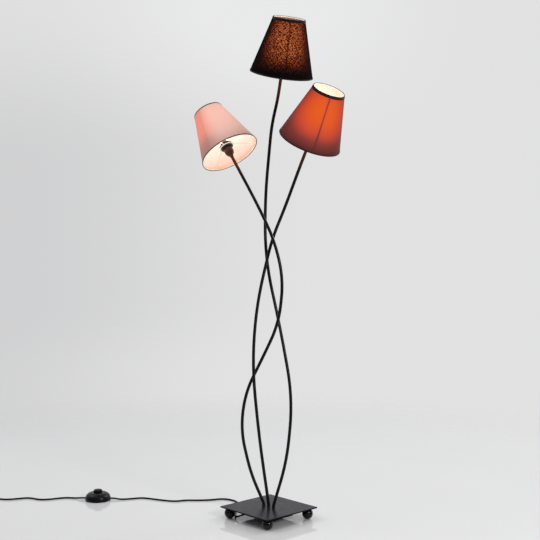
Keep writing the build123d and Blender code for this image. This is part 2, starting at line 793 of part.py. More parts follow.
# Plug beside the coil, lying on its flat side
relief_start = coil_middle + Vector(-outer_turn, -coil_reach, plug_thickness / 2)
plug_back = relief_start - Vector(0, relief_length, 0)
plug_plane = Plane(origin=plug_back, x_dir=(1, 0, 0), z_dir=(0, -1, 0))
with BuildPart() as plug_body:
    with BuildSketch(plug_plane):
        RectangleRounded(plug_width, plug_thickness, plug_corner)
    extrude(amount=plug_length)
    with BuildSketch(plug_plane):
        Circle(relief_diameter / 2)
    extrude(amount=-relief_length, taper=relief_taper)
    with BuildSketch(plug_plane.offset(plug_length)):
        with GridLocations(pin_pitch, 0, 2, 1):
            Circle(pin_root_diameter / 2)
    extrude(amount=-pin_depth, mode=Mode.SUBTRACT)
save(plug_body, "plug_body")

with BuildPart() as plug_pins:
    with BuildSketch(plug_plane.offset(plug_length)):
        with GridLocations(pin_pitch, 0, 2, 1):
            Circle(pin_diameter / 2)
    extrude(amount=pin_length)
    with BuildSketch(plug_plane.offset(plug_length)):
        with GridLocations(pin_pitch, 0, 2, 1):
            Circle(pin_root_diameter / 2)
    extrude(amount=-pin_depth)
save(plug_pins, "plug_pins")

switched_length = cord_lamp.part.volume / (pi * cord_diameter**2 / 4)
free_length = cord_wall.part.volume / (pi * cord_diameter**2 / 4)
print("cord lengths", round(switched_length), round(free_length), round(coil_turns * pi * coil_diameter))
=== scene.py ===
import math

import bpy
from mathutils import Matrix, Vector


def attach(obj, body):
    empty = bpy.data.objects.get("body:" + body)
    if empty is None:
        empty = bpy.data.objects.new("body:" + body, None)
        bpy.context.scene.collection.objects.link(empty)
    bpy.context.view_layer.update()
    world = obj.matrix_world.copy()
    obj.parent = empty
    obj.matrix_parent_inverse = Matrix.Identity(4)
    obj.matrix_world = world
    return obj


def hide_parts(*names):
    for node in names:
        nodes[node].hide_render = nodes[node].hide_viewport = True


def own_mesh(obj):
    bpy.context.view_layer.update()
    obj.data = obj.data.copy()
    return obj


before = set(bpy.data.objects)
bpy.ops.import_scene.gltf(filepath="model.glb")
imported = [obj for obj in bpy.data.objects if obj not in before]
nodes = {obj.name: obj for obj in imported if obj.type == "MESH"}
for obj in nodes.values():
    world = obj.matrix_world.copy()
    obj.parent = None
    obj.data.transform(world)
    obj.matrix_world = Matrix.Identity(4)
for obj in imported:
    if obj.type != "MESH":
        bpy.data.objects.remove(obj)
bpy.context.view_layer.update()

scene = bpy.context.scene
scene.view_settings.view_transform = "Standard"
print("frame loaded, nodes:", len(nodes))

sharpAngle = math.radians(40)  # edges sharper than this stay sharp
noiseLow, noiseHigh = 0.3, 0.7  # most of a noise's values lie between these


def deselectAll():
    # operators act on all that is picked, so this comes before each piece
    if bpy.context.mode != "OBJECT":
        bpy.ops.object.mode_set(mode="OBJECT")
    bpy.ops.object.select_all(action="DESELECT")


def makeActive(piece):
    deselectAll()
    piece.select_set(True)
    bpy.context.view_layer.objects.active = piece


def pickOnly(piece, kind, wanted):
    # leaves the piece in edit mode with only the wanted verts, edges or faces picked
    makeActive(piece)
    bpy.ops.object.mode_set(mode="EDIT")
    bpy.ops.mesh.select_mode(type=kind)
    bpy.ops.mesh.select_all(action="DESELECT")
    bpy.ops.object.mode_set(mode="OBJECT")
    mesh = piece.data
    for item in {"VERT": mesh.vertices, "EDGE": mesh.edges, "FACE": mesh.polygons}[kind]:
        item.select = wanted(mesh, item)
    bpy.ops.object.mode_set(mode="EDIT")


def applyModifier(piece, kind, **settings):
    makeActive(piece)
    modifier = piece.modifiers.new(kind.title(), kind)
    for name, value in settings.items():
        setattr(modifier, name, value)
    bpy.ops.object.modifier_apply(modifier=modifier.name)


def placeIn(piece, matrix):
    # moves the piece and puts the move into its mesh
    piece.matrix_world = matrix
    makeActive(piece)
    bpy.ops.object.transform_apply(location=True, rotation=True, scale=True)


def wear(piece, *materials):
    piece.data.materials.clear()
    for material in materials:
        piece.data.materials.append(material)


def paintNode(material, *names):
    for name in names:
        wear(nodes[name], material)


def newMaterial(name, **sockets):
    material = bpy.data.materials.new(name)
    material.use_nodes = True
    shader = material.node_tree.nodes["Principled BSDF"]
    for socket, value in sockets.items():
        shader.inputs[socket.replace("_", " ")].default_value = value
    return material, material.node_tree, shader


def addNode(tree, kind, links=None, **settings):
    node = tree.nodes.new(kind)
    for name, value in settings.items():
        setattr(node, name, value)
    for socket, value in (links or {}).items():
        if isinstance(value, bpy.types.NodeSocket):
            tree.links.new(value, node.inputs[socket])
        else:
            node.inputs[socket].default_value = value
    return node


def math2(tree, operation, first, second=0.0):
    return addNode(tree, "ShaderNodeMath", {0: first, 1: second}, operation=operation).outputs[0]


def noiseOf(tree, vector, scale, detail=3.0, roughness=0.5):
    links = {"Vector": vector, "Scale": scale, "Detail": detail, "Roughness": roughness}
    return addNode(tree, "ShaderNodeTexNoise", links).outputs["Fac"]


def spread(tree, value, low, high, toLow, toHigh, smooth=False):
    links = {"Value": value, "From Min": low, "From Max": high, "To Min": toLow, "To Max": toHigh}
    kind = "SMOOTHSTEP" if smooth else "LINEAR"
    return addNode(tree, "ShaderNodeMapRange", links, interpolation_type=kind).outputs["Result"]


def rampOf(tree, value, *stops):
    node = addNode(tree, "ShaderNodeValToRGB", {"Fac": value})
    elements = node.color_ramp.elements
    while len(elements) < len(stops):
        elements.new(0.5)
    for element, (place, colour) in zip(elements, stops):
        element.position = place
        element.color = (*colour, 1.0)
    return node.outputs["Color"]


def bumpOf(tree, shader, height, strength, distance):
    links = {"Height": height, "Strength": strength, "Distance": distance}
    tree.links.new(addNode(tree, "ShaderNodeBump", links).outputs["Normal"], shader.inputs["Normal"])


def objectPlace(tree):
    return addNode(tree, "ShaderNodeTexCoord").outputs["Object"]


def distanceTo(tree, place, point):
    return addNode(tree, "ShaderNodeVectorMath", {0: place, 1: point}, operation="DISTANCE").outputs["Value"]


def scaled(tree, vector, by):
    return addNode(tree, "ShaderNodeVectorMath", {0: vector, "Scale": by}, operation="SCALE").outputs[0]


def mixOf(tree, share, first, second):
    return addNode(tree, "ShaderNodeMix", {0: share, 2: first, 3: second}, data_type="FLOAT").outputs[0]


def colourTimes(tree, share, first, second):
    links = {0: share, 6: first, 7: second}
    return addNode(tree, "ShaderNodeMix", links, data_type="RGBA", blend_type="MULTIPLY").outputs[2]


def mottle(tree, socket, tone, dark, light):
    # the noise carries the socket from one colour to another close to it
    tree.links.new(rampOf(tree, tone, (noiseLow, dark), (noiseHigh, light)), socket)


def shade(colour, by):
    return tuple(min(1.0, part * by) for part in colour)


cameraView = {
    "place": (0.09687, -3.14851, 0.89617),
    "turn": (88.1975, 0.0, 1.6846),  # degrees
    "lens": 66.01,
    "sensor": 36.0,
    "farthest": 60.0,
}


def addCamera(view):
    deselectAll()
    turn = [math.radians(angle) for angle in view["turn"]]
    bpy.ops.object.camera_add(location=view["place"], rotation=turn)
    camera = bpy.context.object
    camera.name = "photoCamera"
    camera.data.lens = view["lens"]
    camera.data.sensor_width = view["sensor"]
    camera.data.clip_end = view["farthest"]
    scene.camera = camera


addCamera(cameraView)
print("camera placed")

cordLook = {
    "diameter": 0.0056,
    "colour": (0.0025, 0.0025, 0.003),
    "darker": 0.75,  # the colour's darkest and lightest, as shares of it
    "lighter": 1.4,
    "roughness": 0.45,
    "smoother": 0.08,  # what smears take off the roughness, and what they add
    "rougher": 0.1,
    "specular": 0.12,
    "toneSize": 60.0,  # of the noises
    "smearSize": 220.0,
    "grainSize": 900.0,
    "bump": 0.25,
    "bumpDepth": 0.0002,
    "roundSteps": 5,
    "lengthSteps": 8,
}
lampRun = [  # from the gland to the foot switch
    (-0.06152, -0.01202, 0.020), (-0.07106, -0.02157, 0.020),
    (-0.085, -0.0245, 0.016), (-0.098, -0.0195, 0.011), (-0.1065, -0.008, 0.006),
    (-0.108, 0.016, 0.0032), (-0.111, 0.046, 0.0028), (-0.109, 0.086, 0.0028),
    (-0.104, 0.128, 0.0028), (-0.106, 0.168, 0.0028), (-0.126, 0.207, 0.0028),
    (-0.166, 0.226, 0.0028), (-0.206, 0.208, 0.0028), (-0.250, 0.201, 0.0028),
    (-0.290, 0.203, 0.0028), (-0.322, 0.186, 0.0028), (-0.362, 0.196, 0.0028),
    (-0.408, 0.216, 0.0028), (-0.444, 0.230, 0.0028), (-0.478, 0.216, 0.0028),
    (-0.514, 0.205, 0.0028), (-0.538, 0.208, 0.0065), (-0.556, 0.208, 0.0065),
]
wallRun = [  # from the foot switch to the coil
    (-0.630, 0.208, 0.0065), (-0.648, 0.208, 0.0065),
    (-0.673, 0.219, 0.0028), (-0.714, 0.224, 0.0028), (-0.752, 0.202, 0.0028),
    (-0.790, 0.192, 0.0028), (-0.834, 0.220, 0.0028), (-0.868, 0.205, 0.0028),
    (-0.905, 0.191, 0.0028), (-0.942, 0.203, 0.0028), (-0.97816, 0.2088, 0.0038),
]
coilLook = {
    "middle": (-0.992, 0.176),
    "radius": 0.030,  # to the middle of the bundle
    "turns": 3.25,
    "perTurn": 24,
    "lift": 0.0066,  # height of the bundle's middle
    "crossFrom": 0.62,  # share of a turn where the strands change places
    "crossTo": 0.95,
    "crossLift": 0.0003,
    "tail": [(-1.0252, 0.168, 0.0088), (-1.0254, 0.161, 0.0074), (-1.0248, 0.152, 0.00685)],
}


def coilPoints(look, diameter):
    # the strands sit on the corners of a square and step to the next corner once a turn
    points = []
    half = diameter / 2
    steps = round(look["turns"] * look["perTurn"])
    # the curve cuts inside its points, so they stand a little farther out
    rounding = 4 / (3 + math.cos(2 * math.pi / look["perTurn"]))
    for step in range(1, steps + 1):
        turned = step / look["perTurn"]
        part = (turned % 1.0 - look["crossFrom"]) / (look["crossTo"] - look["crossFrom"])
        part = max(0.0, min(1.0, part))
        cornerTurn = math.radians(-45 - 90 * (int(turned) + part * part * (3 - 2 * part)))
        outward = half * math.sqrt(2) * math.cos(cornerTurn)
        upward = half * math.sqrt(2) * math.sin(cornerTurn)
        radius = (look["radius"] + outward) * rounding
        way = math.radians(90 + 360 * turned)
        x = look["middle"][0] + radius * math.cos(way)
        y = look["middle"][1] + radius * math.sin(way)
        z = look["lift"] + upward + look["crossLift"] * math.sin(math.pi * part)
        points.append((x, y, z))
    return points


def addCord(name, points, look):
    curve = bpy.data.curves.new(name, "CURVE")
    curve.dimensions = "3D"
    curve.bevel_depth = look["diameter"] / 2
    curve.bevel_resolution = look["roundSteps"]
    curve.resolution_u = look["lengthSteps"]
    curve.use_fill_caps = True
    spline = curve.splines.new("NURBS")
    spline.points.add(len(points) - 1)
    for point, place in zip(spline.points, points):
        point.co = (*place, 1.0)
    spline.order_u = 3
    spline.use_endpoint_u = True
    cord = bpy.data.objects.new(name, curve)
    scene.collection.objects.link(cord)
    return cord


lampCord = addCord("lampCord", lampRun, cordLook)
coiledRun = coilPoints(coilLook, cordLook["diameter"]) + coilLook["tail"]
wallCord = addCord("wallCord", wallRun + coiledRun, cordLook)


def sheathMaterial(name, look):
    material, tree, shader = newMaterial(name, Roughness=look["roughness"],
                                         Specular_IOR_Level=look["specular"])
    place = objectPlace(tree)
    tone = noiseOf(tree, place, look["toneSize"])
    dark, light = shade(look["colour"], look["darker"]), shade(look["colour"], look["lighter"])
    mottle(tree, shader.inputs["Base Color"], tone, dark, light)
    smear = noiseOf(tree, place, look["smearSize"])
    low, high = look["roughness"] - look["smoother"], look["roughness"] + look["rougher"]
    tree.links.new(spread(tree, smear, noiseLow, noiseHigh, low, high), shader.inputs["Roughness"])
    bumpOf(tree, shader, noiseOf(tree, place, look["grainSize"]), look["bump"], look["bumpDepth"])
    return material


switchSpringLook = {
    "travel": 0.0035,  # how far the button goes down
    "spare": 0.0004,  # room left above the spring then
    "weld": 0.000005,  # the node's triangles join where they are this close
}


def addSwitchSpring(look):
    # the coil of the foot switch, which on the real switch gets shorter as the button goes down
    deselectAll()
    coil = bpy.data.objects.new("switchSpring", nodes["switch_spring"].data.copy())
    scene.collection.objects.link(coil)
    makeActive(coil)
    bpy.ops.object.mode_set(mode="EDIT")
    bpy.ops.mesh.select_all(action="SELECT")
    bpy.ops.mesh.remove_doubles(threshold=look["weld"])
    bpy.ops.object.mode_set(mode="OBJECT")
    bpy.ops.object.shade_smooth_by_angle(angle=sharpAngle)
    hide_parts("switch_spring")
    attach(coil, "lamp")
    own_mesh(coil)
    return coil


switchSpring = addSwitchSpring(switchSpringLook)
cordSheath = sheathMaterial("cordSheath", cordLook)
for cord in (lampCord, wallCord):
    wear(cord, cordSheath)
    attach(cord, "lamp")
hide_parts("cord_lamp")
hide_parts("cord_wall", "cord_coil")
print("cord laid")


# the middle of each shade's bottom ring in metres, then in degrees its lean, the way it leans and its seam
heads = {
    "high": {"middle": (0.041, -0.048, 1.408), "lean": 19.5, "way": -64.0, "seam": -81.0},
    "right": {"middle": (0.129, -0.083, 1.197), "lean": 32.3, "way": -51.3, "seam": -76.0},
    "left": {"middle": (-0.132, 0.127, 1.180), "lean": 34.3, "way": 142.9, "seam": -119.0},
}


paintMake = {  # what all the painted, plated and moulded skins share
    "smearFiner": 3.0,  # than the patches of tone
    "smearDetail": 5.0,
    "smearRoughness": 0.6,
    "grainDetail": 2.0,
    "bumpDepth": 0.0003,
    "glowDim": 0.9,
    "warmFrom": 0.02,  # distance from the middle of a bottom ring, over which the stems' painted lamplight fades
    "warmTo": 0.115,
}


def paintMaterial(name, look, make):
    # a sprayed or moulded skin: slight tone change, uneven gloss and a fine peel
    material, tree, shader = newMaterial(name, Metallic=look.get("metal", 0.0),
                                         Specular_IOR_Level=look.get("specular", 0.5))
    place = objectPlace(tree)
    tone = noiseOf(tree, place, look["patch"])
    dark, light = shade(look["colour"], 1 - look["vary"]), shade(look["colour"], 1 + look["vary"])
    mottle(tree, shader.inputs["Base Color"], tone, dark, light)
    size = look["patch"] * make["smearFiner"]
    smear = noiseOf(tree, place, size, make["smearDetail"], make["smearRoughness"])
    tree.links.new(spread(tree, smear, noiseLow, noiseHigh, *look["roughness"]), shader.inputs["Roughness"])
    grain = noiseOf(tree, place, look["grain"], make["grainDetail"])
    bumpOf(tree, shader, grain, look["bump"], make["bumpDepth"])
    if "glow" in look:  # painted lamplight: the thin white coat glows as if the bulb lit it
        dim = shade(look["glow"], make["glowDim"])
        mottle(tree, shader.inputs["Emission Color"], tone, dim, look["glow"])
        shader.inputs["Emission Strength"].default_value = 1.0
    if "paintedLamplight" in look:  # painted lamplight on the stems' tops, just under the shades, fading with distance from them
        nearest = 1.0
        for head in heads.values():
            nearest = math2(tree, "MINIMUM", distanceTo(tree, place, head["middle"]), nearest)
        warmth = spread(tree, nearest, make["warmFrom"], make["warmTo"], 1.0, 0.0, True)
        paintedLamplight = rampOf(tree, warmth, (0.0, (0.0, 0.0, 0.0)), (1.0, look["paintedLamplight"]))
        tree.links.new(paintedLamplight, shader.inputs["Emission Color"])
        shader.inputs["Emission Strength"].default_value = 1.0
    return material


# patch and grain are noise sizes, and roughness runs between its two values
finishes = {
    "platePaint": {
        "colour": (0.0042, 0.0042, 0.0100), "vary": 0.15, "patch": 14.0, "roughness": (0.26, 0.35),
        "grain": 900.0, "bump": 0.22, "specular": 0.10,
    },
    # the stems' tops carry painted warm lamplight as an emission near the shades
    "stemPaint": {
        "colour": (0.0042, 0.0036, 0.0040), "vary": 0.2, "patch": 30.0, "roughness": (0.30, 0.40),
        "grain": 1200.0, "bump": 0.25, "specular": 0.22, "paintedLamplight": (0.055, 0.013, 0.003),
    },
    "footGloss": {
        "colour": (0.0016, 0.0016, 0.0022), "vary": 0.2, "patch": 40.0, "roughness": (0.05, 0.08),
        "grain": 300.0, "bump": 0.01, "specular": 0.32,
    },
    "boxPaint": {
        "colour": (0.005, 0.005, 0.005), "vary": 0.15, "patch": 25.0, "roughness": (0.42, 0.55),
        "grain": 700.0, "bump": 0.3, "specular": 0.15,
    },
    "zincPlate": {
        "colour": (0.55, 0.56, 0.58), "vary": 0.12, "patch": 160.0, "roughness": (0.25, 0.42),
        "grain": 900.0, "bump": 0.2, "metal": 1.0,
    },
    "blackenedSteel": {
        "colour": (0.025, 0.024, 0.024), "vary": 0.2, "patch": 200.0, "roughness": (0.3, 0.45),
        "grain": 1500.0, "bump": 0.2, "metal": 0.5,
    },
    "springWire": {
        "colour": (0.5, 0.5, 0.5), "vary": 0.1, "patch": 200.0, "roughness": (0.2, 0.35),
        "grain": 900.0, "bump": 0.1, "metal": 1.0,
    },
    "contactBrass": {
        "colour": (0.72, 0.52, 0.22), "vary": 0.15, "patch": 120.0, "roughness": (0.22, 0.4),
        "grain": 900.0, "bump": 0.1, "metal": 1.0,
    },
    "terminalPlastic": {
        "colour": (0.72, 0.71, 0.66), "vary": 0.05, "patch": 80.0, "roughness": (0.4, 0.5),
        "grain": 700.0, "bump": 0.15,
    },
    "mattPlastic": {
        "colour": (0.004, 0.004, 0.005), "vary": 0.15, "patch": 60.0, "roughness": (0.42, 0.52),
        "grain": 1400.0, "bump": 0.3, "specular": 0.10,
    },
    "switchPlastic": {
        "colour": (0.0026, 0.0024, 0.0046), "vary": 0.15, "patch": 40.0, "roughness": (0.28, 0.36),
        "grain": 1300.0, "bump": 0.2, "specular": 0.18,
    },
    "wireSheath": {
        "colour": (0.55, 0.55, 0.52), "vary": 0.05, "patch": 60.0, "roughness": (0.4, 0.5),
        "grain": 700.0, "bump": 0.1,
    },
    "plugPlastic": {
        "colour": (0.010, 0.010, 0.011), "vary": 0.15, "patch": 60.0, "roughness": (0.38, 0.5),
        "grain": 1400.0, "bump": 0.4, "specular": 0.35,
    },
    "nickelPlate": {
        "colour": (0.70, 0.68, 0.63), "vary": 0.06, "patch": 120.0, "roughness": (0.12, 0.24),
        "grain": 800.0, "bump": 0.08, "metal": 1.0,
    },
    # the cap's reddish brown is partly painted warm lamplight on dark metal
    "holderMetal": {
        "colour": (0.105, 0.030, 0.017), "vary": 0.2, "patch": 70.0, "roughness": (0.26, 0.36),
        "grain": 1200.0, "bump": 0.15, "specular": 0.35,
    },
    "holderPlastic": {
        "colour": (0.022, 0.020, 0.019), "vary": 0.15, "patch": 70.0, "roughness": (0.4, 0.55),
        "grain": 1200.0, "bump": 0.25,
    },
    # the white frames glow with painted lamplight
    "frameWhite": {
        "colour": (0.78, 0.75, 0.71), "vary": 0.05, "patch": 90.0, "roughness": (0.35, 0.45),
        "grain": 900.0, "bump": 0.15, "glow": (0.40, 0.31, 0.245),
    },
}
made = {name: paintMaterial(name, look, paintMake) for name, look in finishes.items()}

paintNode(made["platePaint"], "base_plate")
paintNode(made["footGloss"], "foot_front", "foot_right", "foot_back", "foot_left")
paintNode(made["zincPlate"], "plate_studs", "stem_nuts", "switch_screws")
paintNode(made["boxPaint"], "wiring_box", "box_nuts")
paintNode(made["terminalPlastic"], "terminal_block")
paintNode(made["mattPlastic"], "cord_gland", "switch_base", "switch_button", "coil_tie")
paintNode(made["switchPlastic"], "switch_housing")
paintNode(made["plugPlastic"], "plug_body")
paintNode(made["nickelPlate"], "plug_pins")
wear(switchSpring, made["springWire"])
paintNode(made["contactBrass"], "switch_contacts")
paintNode(made["blackenedSteel"], "holder_grub_screws")
for key in heads:
    paintNode(made["stemPaint"], f"stem_{key}")
    paintNode(made["wireSheath"], f"wire_{key}")
    paintNode(made["holderMetal"], f"holder_cap_{key}")
    paintNode(made["holderPlastic"], f"holder_body_{key}", f"clamp_rings_{key}")
    paintNode(made["contactBrass"], f"holder_contacts_{key}")
    paintNode(made["nickelPlate"], f"bulb_base_{key}")
    paintNode(made["frameWhite"], f"shade_frame_{key}", f"shade_top_ring_{key}")
print("hard finishes made:", len(made))


def headMatrix(head):
    upward = Vector((0, 0, 1))
    upward.rotate(Matrix.Rotation(math.radians(head["lean"]), 3, "Y"))
    upward.rotate(Matrix.Rotation(math.radians(head["way"]), 3, "Z"))
    across = Vector((0, 1, 0)).cross(upward).normalized()
    away = upward.cross(across)
    turn = Matrix((across, away, upward)).transposed().to_4x4()
    return Matrix.Translation(head["middle"]) @ turn


bulbLook = {
    "station": 0.102,  # of the bright part, from the bottom ring
    "glassStrength": 3.2,
    "glassGlow": (1.0, 0.82, 0.68),
    "glassDim": 0.92,
    "glassColours": ((0.86, 0.80, 0.70), (0.92, 0.88, 0.80)),
    "glassRoughness": 0.12,
    "ior": 1.45,
    "clear": 0.55,  # share of the glass that light goes through
    "hazeSize": 120.0,
    "rippleSize": 400.0,
    "ripple": 0.05,
    "rippleDepth": 0.0002,
    "wireStrength": 3.0,
    "wireGlows": ((1.0, 0.62, 0.28), (1.0, 0.80, 0.52)),
    "wireRoughness": 0.4,
    "heatSize": 500.0,
}


def bulbMaterials(look):
    glass, tree, shader = newMaterial(
        "bulbGlass", Roughness=look["glassRoughness"], IOR=look["ior"], Transmission_Weight=look["clear"],
        Emission_Strength=look["glassStrength"])
    place = objectPlace(tree)
    haze = noiseOf(tree, place, look["hazeSize"])
    dim = shade(look["glassGlow"], look["glassDim"])
    mottle(tree, shader.inputs["Emission Color"], haze, dim, look["glassGlow"])
    mottle(tree, shader.inputs["Base Color"], haze, *look["glassColours"])
    bumpOf(tree, shader, noiseOf(tree, place, look["rippleSize"]), look["ripple"], look["rippleDepth"])
    wire, tree, shader = newMaterial("bulbFilament", Roughness=look["wireRoughness"],
                                     Emission_Strength=look["wireStrength"])
    heat = noiseOf(tree, objectPlace(tree), look["heatSize"])
    mottle(tree, shader.inputs["Emission Color"], heat, *look["wireGlows"])
    return glass, wire


bulbGlass, bulbFilament = bulbMaterials(bulbLook)
for key in heads:
    paintNode(bulbGlass, f"bulb_glass_{key}")
    paintNode(bulbFilament, f"bulb_filament_{key}")
print("bulbs lit")


shadeCut = {
    "bottomRadius": 0.099,
    "topRadius": 0.050,
    "height": 0.1726,
    "skin": 0.0012,  # cloth and lining together
    "around": 144,
    "rows": 16,
    "seamHalf": 0.0022,  # half the width of the lap
    "seamRise": 0.0005,
    "seamColumns": 2,  # of the mesh, each side of the seam
    "hemBottom": 0.0036,
}
slope = (shadeCut["bottomRadius"] - shadeCut["topRadius"]) / shadeCut["height"]
slant = math.hypot(1, slope)


def wrapped(angle):
    return (angle + math.pi) % (2 * math.pi) - math.pi


def coneRadius(cut, height):
    return cut["bottomRadius"] - slope * height


def shadeShell(name, cut, cloth, lining):
    # the cloth and lining of one shade, upright, with its seam towards +X
    deselectAll()
    bpy.ops.mesh.primitive_cone_add(
        vertices=cut["around"], radius1=cut["bottomRadius"], radius2=cut["topRadius"], depth=cut["height"],
        end_fill_type="NOTHING", location=(0, 0, cut["height"] / 2))
    shell = bpy.context.object
    shell.name = name
    bpy.ops.object.transform_apply(location=True, rotation=True, scale=True)

    def isUpright(mesh, edge):
        low, high = [mesh.vertices[v].co.z for v in edge.vertices]
        return abs(high - low) > cut["height"] / 2

    pickOnly(shell, "EDGE", isUpright)
    bpy.ops.mesh.subdivide(number_cuts=cut["rows"] - 1)
    bpy.ops.object.mode_set(mode="OBJECT")

    # the columns next to the seam close up, so that the lap keeps one width from top to bottom
    column = 2 * math.pi / cut["around"]
    for vertex in shell.data.vertices:
        angle = wrapped(math.atan2(vertex.co.y, vertex.co.x))
        steps = round(angle / column)
        if 0 < abs(steps) <= cut["seamColumns"]:
            radius = coneRadius(cut, vertex.co.z)
            angle = math.copysign(abs(steps) / cut["seamColumns"] * cut["seamHalf"] / radius, steps)
            length = math.hypot(vertex.co.x, vertex.co.y)
            vertex.co.x, vertex.co.y = length * math.cos(angle), length * math.sin(angle)

    def isLap(mesh, face):
        return face.center.x > 0 and abs(face.center.y) < cut["seamHalf"]

    pickOnly(shell, "FACE", isLap)
    bpy.ops.mesh.extrude_region_shrink_fatten(TRANSFORM_OT_shrink_fatten={"value": cut["seamRise"]})
    bpy.ops.mesh.select_all(action="SELECT")
    bpy.ops.mesh.normals_make_consistent(inside=False)
    bpy.ops.object.mode_set(mode="OBJECT")
    addShadeMaps(shell, cut)
    wear(shell, cloth, lining)
    applyModifier(shell, "SOLIDIFY", thickness=cut["skin"], offset=-1.0, use_even_offset=True,
                  material_offset=1, material_offset_rim=0)
    makeActive(shell)
    bpy.ops.object.shade_smooth_by_angle(angle=sharpAngle)
    return shell


def addShadeMaps(shell, cut):
    # one map lays the cloth out flat, as it was cut, and one counts round from the seam and up
    mesh = shell.data
    while mesh.uv_layers:
        mesh.uv_layers.remove(mesh.uv_layers[0])
    flatMap = mesh.uv_layers.new(name="clothFlat")
    roundMap = mesh.uv_layers.new(name="clothRound")
    fan = slope / slant  # how far the flat cut fans out for each turn round the shade
    apex = cut["bottomRadius"] / fan
    for face in mesh.polygons:
        faceAngle = math.atan2(face.center.y, face.center.x)
        for loop in face.loop_indices:
            place = mesh.vertices[mesh.loops[loop].vertex_index].co
            angle = faceAngle + wrapped(math.atan2(place.y, place.x) - faceAngle)
            fromBack = angle - math.copysign(math.pi, faceAngle)
            reach = apex - place.z * slant
            flatMap.data[loop].uv = (reach * math.sin(fromBack * fan), -reach * math.cos(fromBack * fan))
            roundMap.data[loop].uv = (angle / (2 * math.pi), place.z / cut["height"])


# round the section of the folded tape: out from the cloth in mm, then down from the edge, both as a share
# of the tape's depth and in mm
hemSection = [
    (0.60, 0.5, 0.0), (0.60, 0.25, 0.0), (0.55, 0.0, 0.2), (0.2, 0.0, -0.35), (-0.35, 0.0, -0.5),
    (-0.9, 0.0, -0.4), (-1.35, 0.0, -0.1), (-1.45, 0.0, 0.5), (-1.35, 0.0, 1.0), (-1.05, 0.0, 1.3),
    (-0.7, 0.0, 1.3), (-0.5, 0.0, 1.6), (-0.4, 0.8, 0.0), (-0.1, 1.0, 0.0), (0.35, 0.97, 0.0),
    (0.6, 0.85, 0.0),
]


def foldedHem(name, cut, atTop, depth):
    # tape folded over the cut edge of the cloth: a deep side outside and a short side inside
    deselectAll()
    bpy.ops.mesh.primitive_torus_add(major_segments=cut["around"], minor_segments=len(hemSection),
                                     major_radius=1.0, minor_radius=0.1, location=(0, 0, 0))
    hem = bpy.context.object
    hem.name = name
    for vertex in hem.data.vertices:
        around = math.hypot(vertex.co.x, vertex.co.y)
        place = round(math.atan2(vertex.co.z, around - 1.0) / (2 * math.pi) * len(hemSection))
        away, share, down = hemSection[place % len(hemSection)]
        down = share * depth + down / 1000
        height = cut["height"] - down if atTop else down
        grown = (coneRadius(cut, height) + away / 1000 * slant) / around
        vertex.co = (vertex.co.x * grown, vertex.co.y * grown, height)
    makeActive(hem)
    bpy.ops.object.mode_set(mode="EDIT")
    bpy.ops.mesh.select_all(action="SELECT")
    bpy.ops.mesh.normals_make_consistent(inside=False)
    bpy.ops.object.mode_set(mode="OBJECT")
    bpy.ops.object.shade_smooth()
    return hem


